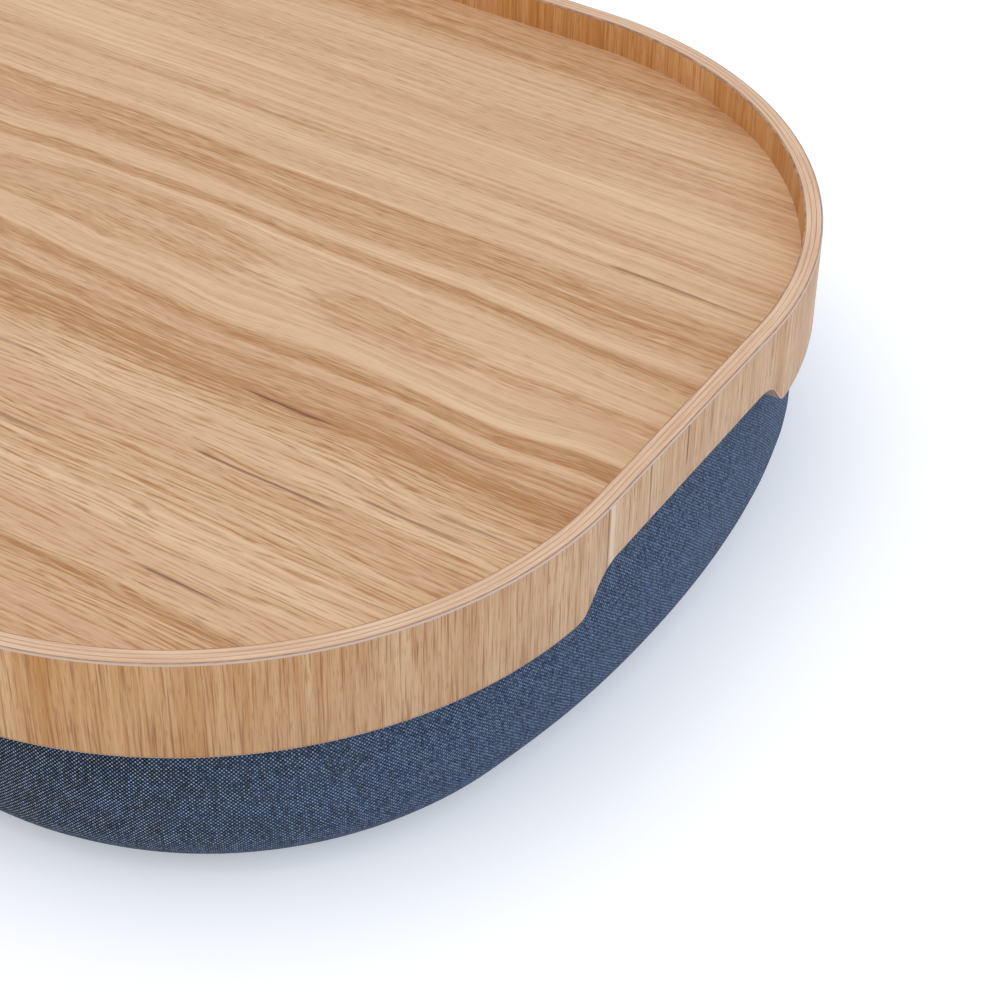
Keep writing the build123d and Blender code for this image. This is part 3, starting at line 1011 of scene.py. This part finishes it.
def top_panel(name, side):
    """Mesh of one panel: lines across it from the flange to the zip, hemmed at both ends."""
    columns, _ = cushion_columns(cover_step)
    outline = sorted(cushion_place(column, panel_draw) for column in columns if 0 <= column[3] <= pi)
    lines = []
    for x, y in outline:
        zip_edge = window_half_width if abs(x) < window_half_length else panel_gap
        lines.append((x, y, min(zip_edge, y)))
    for corner in (-window_half_length, window_half_length):
        beside = min(outline, key=lambda place: abs(place[0] - corner))
        lines.append((corner, beside[1], window_half_width))
        lines.append((corner, beside[1], panel_gap))
    lines.sort(key=lambda line: (line[0], line[2] if line[0] < 0 else -line[2]))
    points, faces, maps = [], [], []
    for x, far, near in lines:
        run = far - near
        places = [(far - min(step, run / 2), drop) for step, drop in hem_steps]
        hem = hem_steps[-1][0]
        for step in range(1, panel_steps):
            y = far - min(hem, run / 2) - max(run - 2 * hem, 0) * step / panel_steps
            places.append((y, panel_dips(x, side * y, min(far - y, y - near))))
        places += [(near + min(step, run / 2), drop) for step, drop in reversed(hem_steps)]
        points += [(x, side * y, panel_top - drop) for y, drop in places]
    size = 2 * len(hem_steps) + panel_steps - 1
    for line in range(len(lines) - 1):
        for step in range(size - 1):
            low = line * size + step
            high = low + size
            face = (low, low + 1, high + 1, high)[::side]
            faces.append(face)
            maps += [points[corner][:2] for corner in face]
    return mesh_piece(name, points, faces, maps)


for side_name, side in (("front", -1), ("back", 1)):
    panel = top_panel("cover_panel_" + side_name, side)
    thicken(panel, cover_cloth)
    fit(panel, cover_weave, "cover_cloth", "cushion", "cover_top_" + side_name, fill=cloth_fill)


# Navy topstitching: spun polyester, each stitch a short soft arch that dips into the
# cloth at its ends, with the slight barber stripe of the thread's twist.

stitch_length = 2.4 * mm
stitch_gap = 0.8 * mm
thread_radius = 0.19 * mm
stitch_shape = ((0.0, -0.6, 0.3), (0.15, 0.5, 0.9), (0.5, 0.8, 1.0), (0.85, 0.5, 0.9), (1.0, -0.6, 0.3))
thread_sides = 6


def tube_faces(first, rings, sides, way=1):
    """Faces round a tube of rings of points and over its two ends, turned out or, at -1, in."""
    faces = []
    for ring in range(rings - 1):
        near = first + ring * sides
        for side in range(sides):
            after = (side + 1) % sides
            face = (near + side, near + after, near + sides + after, near + sides + side)
            faces.append(face if way > 0 else (face[0], *face[:0:-1]))
    last = first + (rings - 1) * sides
    faces.append(list(range(first, first + sides))[::-way])
    faces.append(list(range(last, last + sides))[::way])
    return faces


def stitching(name, runs):
    """Mesh of a seam's stitches along level runs of places."""
    points, faces = [], []
    for run in runs:
        left = 0.0
        for start, end in zip(run, run[1:]):
            start, end = Vector(start), Vector(end)
            length = (end - start).length
            if length == 0:
                continue
            way = (end - start) / length
            across = Vector((-way.y, way.x, 0))
            while left < length:
                base = start + way * left
                left += stitch_length + stitch_gap
                faces += tube_faces(len(points), len(stitch_shape), thread_sides)
                for share, lift, width in stitch_shape:
                    centre = base + way * stitch_length * share + Vector((0, 0, thread_radius * lift))
                    for side in range(thread_sides):
                        angle = 2 * pi * side / thread_sides
                        out = across * cos(angle) + Vector((0, 0, sin(angle)))
                        points.append(centre + out * thread_radius * width)
            left -= length
    return mesh_piece(name, points, faces)


twist_scale = 1.1


def spun_thread(name, dark, pale):
    """Spun polyester thread, with a soft sheen and its twist in turns to the millimetre."""
    made, add = new_finish(name)
    spot = add("VectorMath SCALE", add("TexCoord").outputs["Object"], 1 / mm)
    feeds = {"Vector": spot, "Scale": twist_scale, "Distortion": 1.0}
    twist = add("TexWave", sockets=feeds, bands_direction="DIAGONAL")
    colour = add("Mix RGBA", twist, dark, pale)
    return finished(made, {"Base Color": colour, "Roughness": 0.65, "Sheen Weight": 0.2})


seam_inset = 3 * mm
zip_seam_inset = 2.5 * mm
columns, _ = cushion_columns(cover_step)
outer_seam = [(*cushion_place(column, panel_draw + seam_inset), panel_top) for column in columns]
seam_runs = [outer_seam + outer_seam[:1]]
for side in (-1, 1):
    for offset in (zip_seam_inset, zip_seam_inset + seam_inset):
        y = side * (window_half_width + offset)
        end = window_half_length + offset
        seam_runs.append([(-end, y, panel_top), (end, y, panel_top)])
    for offset in (zip_seam_inset, zip_seam_inset + seam_inset):
        x = side * (window_half_length + offset)
        reach = window_half_width + offset
        seam_runs.append([(x, -reach, panel_top), (x, reach, panel_top)])
navy_thread = spun_thread("navy_spun_polyester", "#1B2438", "#34425E")
fit(stitching("cover_topstitching", seam_runs), navy_thread, "cover_cloth", "cushion")


# Zip: a nylon coil, wound flat and sewn to woven tape, so that the cover comes off to
# be washed. The two coils meet head to head, with room between for the slider's web.

def level_strip(name, low, high, step):
    """Flat gridded mesh at the top of a box, with its map in metres."""
    count_x = ceil((high.x - low.x) / step)
    count_y = ceil((high.y - low.y) / step)
    points, faces, maps = [], [], []
    for row in range(count_y + 1):
        for column in range(count_x + 1):
            x = low.x + (high.x - low.x) * column / count_x
            y = low.y + (high.y - low.y) * row / count_y
            points.append((x, y, high.z))
    for row in range(count_y):
        for column in range(count_x):
            near = row * (count_x + 1) + column
            far = near + count_x + 1
            face = (near, near + 1, far + 1, far)
            faces.append(face)
            maps += [points[corner][:2] for corner in face]
    return mesh_piece(name, points, faces, maps)


herringbone_rib = 1.6
twill_pitch = 0.55
twill_relief = 0.1 * mm


def herringbone_tape(name, dark, light):
    """Woven polyester tape: a fine herringbone twill, ribbed along the tape."""
    made, add = new_finish(name)
    spot = add("VectorMath SCALE", add("TexCoord").outputs["Object"], 1 / mm)
    along, across, _ = add("SeparateXYZ", spot).outputs
    ribs = add("Math PINGPONG", across, herringbone_rib)
    slant = add("Math ADD", along, ribs)
    twill = add("Math SINE", add("Math MULTIPLY", slant, 2 * pi / twill_pitch))
    share = add("MapRange", twill, -0.4, 0.9)
    colour = add("Mix RGBA", share, dark, light)
    bump = add("Bump", sockets={"Strength": 0.5, "Distance": twill_relief, "Height": twill})
    return finished(made, {"Base Color": colour, "Roughness": 0.8, "Sheen Weight": 0.15, "Normal": bump})


nylon_cloud_scale = 0.7


def drawn_nylon(name, base):
    """Drawn nylon filament: dark and smooth, with faint clouds some 1.4 mm across."""
    made, add = new_finish(name)
    spot = add("VectorMath SCALE", add("TexCoord").outputs["Object"], 1 / mm)
    share = add("MapRange", add("TexNoise", spot, nylon_cloud_scale, 2.0), 0.35, 0.65)
    colour = add("Mix RGBA", share, base, "#2C3852")
    return finished(made, {"Base Color": colour, "Roughness": 0.32, "IOR": 1.53})


zip_weave = herringbone_tape("navy_herringbone_tape", "#11182A", "#25304A")
nylon_coil = drawn_nylon("navy_drawn_nylon", "#182135")
tape_step = 2 * mm
coil_pitch = 1.4 * mm
wire_radius = 0.28 * mm
coil_points = 12
wire_sides = 6
coil_half_width = 1.07 * mm
slot_clearance = 0.3 * mm


def wound_coil(name, low, high, side):
    """Mesh of a flat-wound coil of wire between two corners, its heads towards the slot."""
    half_height = (high.z - low.z) / 2 - wire_radius
    middle_height = (high.z + low.z) / 2
    middle_y = side * (slot_clearance + wire_radius + coil_half_width)
    turns = int((high.x - low.x - 2 * wire_radius) / coil_pitch)
    offset = coil_pitch / 2 if side > 0 else 0.0
    centres = []
    for step in range(turns * coil_points):
        angle = 2 * pi * step / coil_points
        centres.append(Vector((
            low.x + wire_radius + offset / 2 + coil_pitch * step / coil_points,
            middle_y - side * coil_half_width * cos(angle),
            middle_height + half_height * sin(angle),
        )))
    points = []
    for step, centre in enumerate(centres):
        before = centres[max(step - 1, 0)]
        after = centres[min(step + 1, len(centres) - 1)]
        way = (after - before).normalized()
        out = (centre - Vector((centre.x, middle_y, middle_height))).normalized()
        other = way.cross(out).normalized()
        out = other.cross(way)
        for number in range(wire_sides):
            angle = 2 * pi * number / wire_sides
            points.append(centre + (out * cos(angle) + other * sin(angle)) * wire_radius)
    return mesh_piece(name, points, tube_faces(0, len(centres), wire_sides))


for side_name, side in (("front", -1), ("back", 1)):
    tape_low, tape_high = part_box("zip_tape_" + side_name)
    tape = level_strip("zip_tape_cloth_" + side_name, tape_low, tape_high, tape_step)
    thicken(tape, tape_high.z - tape_low.z)
    fit(tape, zip_weave, "zip_tape", "cushion", "zip_tape_" + side_name)
    coil = wound_coil("zip_coil_" + side_name, *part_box("zip_chain_" + side_name), side)
    fit(coil, nylon_coil, "zip_chain", "cushion", "zip_chain_" + side_name)

enamel_grain_scale = 2.4
enamel_relief = 0.02 * mm


def enamelled_zinc(name, base, worn):
    """Die-cast zinc under dark enamel: satin, a little uneven, paler where it rubs."""
    made, add = new_finish(name)
    spot = add("VectorMath SCALE", add("TexCoord").outputs["Object"], 1 / mm)
    grains = add("TexNoise", spot, enamel_grain_scale, 3.0)
    share = add("MapRange", grains, 0.58, 0.74, 0.0, 0.5)
    colour = add("Mix RGBA", share, base, worn)
    rough = add("MapRange", grains, 0.3, 0.7, 0.28, 0.45)
    bump = add("Bump", sockets={"Strength": 0.2, "Distance": enamel_relief, "Height": grains})
    return finished(made, {"Base Color": colour, "Roughness": rough, "Normal": bump, "Coat Weight": 0.3})


zip_enamel = enamelled_zinc("dark_enamelled_zinc", "#20252F", "#59606B")
for name in ("zip_slider", "zip_end_stop", "zip_top_stops"):
    refinish(name, zip_enamel)

# Loop strips: brushed nylon pile on a woven tape, sewn to the cushion's top by their
# flat borders. The hook strips under the deck press into them.

strip_length = 110 * mm
strip_width = 38 * mm
strip_corner = 4 * mm
strip_border = 3 * mm
loop_base = 0.8 * mm
loop_low, loop_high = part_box("loop_strips")
strip_middle_x = loop_high.x - strip_length / 2
strip_middle_y = loop_high.y - strip_width / 2
strip_places = [(x * strip_middle_x, y * strip_middle_y) for x in (-1, 1) for y in (-1, 1)]
pile_step = 0.9 * mm
pile_rough = 0.35 * mm


def strip_reach(across):
    """Half length of a round-cornered strip at a distance across from its middle line."""
    over = max(abs(across) - (strip_width / 2 - strip_corner), 0)
    return strip_length / 2 - strip_corner + sqrt(max(strip_corner**2 - over**2, 0))


def strip_pad(name, low, height_at, step):
    """Mesh of the four strips: a fine top surface, side walls and a flat foot."""
    half_width = strip_width / 2
    rows = ceil(strip_width / step)
    count = ceil(strip_length / step)
    width = count + 1
    points, faces = [], []
    for middle_x, middle_y in strip_places:
        first = len(points)
        for level in (1, 0):
            for row in range(rows + 1):
                across = -half_width + 2 * half_width * row / rows
                reach = strip_reach(across)
                for column in range(count + 1):
                    along = -reach + 2 * reach * column / count
                    x, y = middle_x + along, middle_y + across
                    edge = min(reach - abs(along), half_width - abs(across))
                    points.append((x, y, height_at(x, y, edge) if level else low))
        foot = first + width * (rows + 1)
        for row in range(rows):
            for column in range(count):
                corner = row * width + column
                square = (corner, corner + 1, corner + width + 1, corner + width)
                faces.append([first + place for place in square])
                faces.append([foot + square[place] for place in (0, 3, 2, 1)])
        border = list(range(width))
        border += [row * width + count for row in range(1, rows + 1)]
        border += [rows * width + column for column in reversed(range(count))]
        border += [row * width for row in reversed(range(1, rows))]
        for place, after in zip(border, border[1:] + border[:1]):
            faces.append((first + after, first + place, foot + place, foot + after))
    piece = mesh_piece(name, points, faces)
    piece.data.set_sharp_from_angle(angle=sharp_angle)
    return piece


def pile_height(x, y, edge):
    """Height of the loop strip: a flat border, then the brushed pile."""
    if edge < strip_border:
        return loop_low.z + loop_base
    rise = min((edge - strip_border) / strip_border, 1)
    spot = Vector((x, y, 0)) / pile_step
    crown = loop_high.z - 2 * pile_rough - loop_low.z - loop_base
    return loop_low.z + loop_base + crown * sqrt(rise) + pile_rough * noise.noise(spot)


pile_relief = 0.2 * mm


def brushed_nylon(name, dark, light, pitch):
    """Matt nylon tape or pile, its tone broken up at the pitch of its loops, in millimetres."""
    made, add = new_finish(name)
    spot = add("VectorMath SCALE", add("TexCoord").outputs["Object"], 1 / mm)
    loops = add("TexNoise", spot, 1 / pitch, 3.0)
    share = add("MapRange", loops, 0.36, 0.66)
    colour = add("Mix RGBA", share, dark, light)
    bump = add("Bump", sockets={"Strength": 0.7, "Distance": pile_relief, "Height": loops})
    return finished(made, {
        "Base Color": colour, "Roughness": 0.75, "Sheen Weight": 0.3,
        "Sheen Roughness": 0.4, "Normal": bump,
    })


loop_pitch = 0.6
loop_pad = strip_pad("loop_strip_pile", loop_low.z, pile_height, pile_step)
loop_pile = brushed_nylon("navy_brushed_nylon_pile", "#141A28", "#2D3750", loop_pitch)
fit(loop_pad, loop_pile, "loop_tape", "cushion", "loop_strips")

loop_seam_inset = 1.5 * mm
corner_steps = 4
reach_x = strip_length / 2 - loop_seam_inset
reach_y = strip_width / 2 - loop_seam_inset
bend = strip_corner - loop_seam_inset
loop_runs = []
for middle_x, middle_y in strip_places:
    run = []
    for corner_number, (way_x, way_y) in enumerate(((1, 1), (-1, 1), (-1, -1), (1, -1))):
        for part in range(corner_steps + 1):
            angle = quarter_turn * (corner_number + part / corner_steps)
            x = middle_x + way_x * (reach_x - bend) + bend * cos(angle)
            y = middle_y + way_y * (reach_y - bend) + bend * sin(angle)
            run.append((x, y, loop_low.z + loop_base))
    loop_runs.append(run + run[:1])
fit(stitching("loop_strip_stitching", loop_runs), navy_thread, "loop_tape", "cushion")

# Hook strips: moulded nylon hooks on a tape glued to the deck's underside, which hold
# the cushion by its loop strips until they are peeled apart.

hook_low, hook_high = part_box("hook_strips")
hook_base = 0.6 * mm
hook_pitch_along = 1.9 * mm
hook_pitch_across = 1.7 * mm
hook_radius = 0.16 * mm
hook_margin = 1.6 * mm
hook_lean = 0.6 * mm
hook_bend = ((0.0, 0.0), (0.0, 0.55), (0.35, 0.92), (0.75, 1.0), (1.0, 0.78))
hook_sides = 4


def hook_field(name):
    """Mesh of small bent hooks in rows, standing down from their tape."""
    foot = hook_high.z - hook_base
    drop = foot - hook_low.z - hook_radius
    rows = int((strip_width - 2 * hook_margin) / hook_pitch_across)
    points, faces = [], []
    for middle_x, middle_y in strip_places:
        for row in range(rows + 1):
            across = -rows * hook_pitch_across / 2 + row * hook_pitch_across
            count = int(2 * (strip_reach(across) - hook_margin) / hook_pitch_along)
            facing = 1 if row % 2 else -1
            for column in range(count + 1):
                along = -count * hook_pitch_along / 2 + column * hook_pitch_along
                faces += tube_faces(len(points), len(hook_bend), hook_sides, -1)
                for out, down in hook_bend:
                    centre_x = middle_x + along + facing * hook_lean * (out - 0.5)
                    centre_z = foot - drop * down
                    for number in range(hook_sides):
                        angle = 2 * pi * number / hook_sides + pi / hook_sides
                        points.append((
                            centre_x + hook_radius * cos(angle),
                            middle_y + across + hook_radius * sin(angle),
                            centre_z + hook_radius * cos(angle) * facing * out,
                        ))
    return mesh_piece(name, points, faces, smooth=False)


def tape_height(x, y, edge):
    """Height of the hook tape's face, which lies flat against the deck."""
    return hook_high.z


hook_tape_step = 3 * mm
tape_thread_pitch = 0.5
hook_tape = strip_pad("hook_strip_tape", hook_high.z - hook_base, tape_height, hook_tape_step)
black_tape = brushed_nylon("black_nylon_tape", "#0E1118", "#23283A", tape_thread_pitch)
fit(hook_tape, black_tape, "hook_tape", "tray", "hook_strips")
black_nylon = drawn_nylon("black_moulded_nylon", "#10131A")
fit(hook_field("hook_strip_hooks"), black_nylon, "hook_tape", "tray")

# Liner bag: unbleached cotton, a lower and an upper leaf overlocked together round the
# middle, which keeps the beads in when the cover is off.

cotton_pitch = 0.4
cotton_speck_scale = 0.9
cotton_relief = 0.1 * mm


def unbleached_cotton(name):
    """Unbleached cotton sheeting: cream, with a fine even weave and odd darker specks."""
    made, add = new_finish(name)
    spot = add("VectorMath SCALE", add("UVMap", uv_map="map"), 1 / mm)
    turns = add("VectorMath MULTIPLY", spot, (pi / cotton_pitch, pi / cotton_pitch, 0))
    warp_wave, weft_wave, _ = add("SeparateXYZ", add("VectorMath SINE", turns)).outputs
    crossing = add("Math MULTIPLY", warp_wave, weft_wave)
    specks = add("TexNoise", spot, cotton_speck_scale, 2.0, 0.5, noise_dimensions="2D")
    speck_share = add("MapRange", specks, 0.66, 0.74, 0.0, 0.6)
    cloth = add("Mix RGBA", add("MapRange", crossing, -1.0, 1.0), "#D9D2C1", "#EBE6D8")
    colour = add("Mix RGBA", speck_share, cloth, "#A58F6C")
    bump = add("Bump", sockets={"Strength": 0.4, "Distance": cotton_relief, "Height": crossing})
    return finished(made, {"Base Color": colour, "Roughness": 0.85, "Sheen Weight": 0.15, "Normal": bump})


liner_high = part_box("liner_lower_leaf")[1]
liner_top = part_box("liner_upper_leaf")[1].z
liner_shrink = belly_x - liner_high.x
liner_cloth = 0.4 * mm
cotton = unbleached_cotton("unbleached_cotton_sheeting")
liner_levels = cushion_levels(liner_shrink, liner_top)
seam_level = (side_draw(liner_high.z) + liner_shrink, liner_high.z)
lower_levels = [level for level in liner_levels if level[1] < liner_high.z] + [seam_level]
upper_levels = [seam_level] + [level for level in liner_levels if level[1] > liner_high.z]
for leaf_name, leaf_levels, is_lower in (("lower", lower_levels, True), ("upper", upper_levels, False)):
    closed = {"closed_below": is_lower, "closed_above": not is_lower}
    leaf = cushion_shell("liner_" + leaf_name, leaf_levels, **closed)
    thicken(leaf, liner_cloth)
    fit(leaf, cotton, "liner", "cushion", f"liner_{leaf_name}_leaf", fill=cloth_fill)

# Filling: expanded polystyrene beads of about 3 mm, poured loose into the liner, where
# they pack to the cushion's shape and let it settle on a lap.

bead_size = 3 * mm
bead_rough = 0.12 * mm
bead_relief = 1 * mm


def foam_beads(name):
    """Expanded polystyrene beads: matt white cells, with shade between them."""
    made, add = new_finish(name)
    spot = add("TexCoord").outputs["Object"]
    beads = add("TexVoronoi", sockets={"Vector": spot, "Scale": 1 / bead_size})
    colour = add("Mix RGBA", add("MapRange", beads, 0.2, 0.6), "#F2F2EF", "#B9BAB8")
    relief = add("Math SUBTRACT", 0.0, beads)
    bump = add("Bump", sockets={"Strength": 0.8, "Distance": bead_relief, "Height": relief})
    return finished(made, {"Base Color": colour, "Roughness": 0.7, "Normal": bump})


def bead_bumps(place, height):
    """Inward dents between the beads at the liner."""
    spot = Vector((place[0], place[1], height)) / bead_size
    return -bead_rough * (0.5 + 0.5 * noise.noise(spot))


filling_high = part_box("bead_filling")[1]
filling_levels = cushion_levels(belly_x - filling_high.x, filling_high.z)
filling = cushion_shell("bead_mass", filling_levels, True, True, bead_bumps)
beads = foam_beads("expanded_polystyrene_beads")
fit(filling, beads, "filling", "cushion", "bead_filling", fill=cloth_fill)
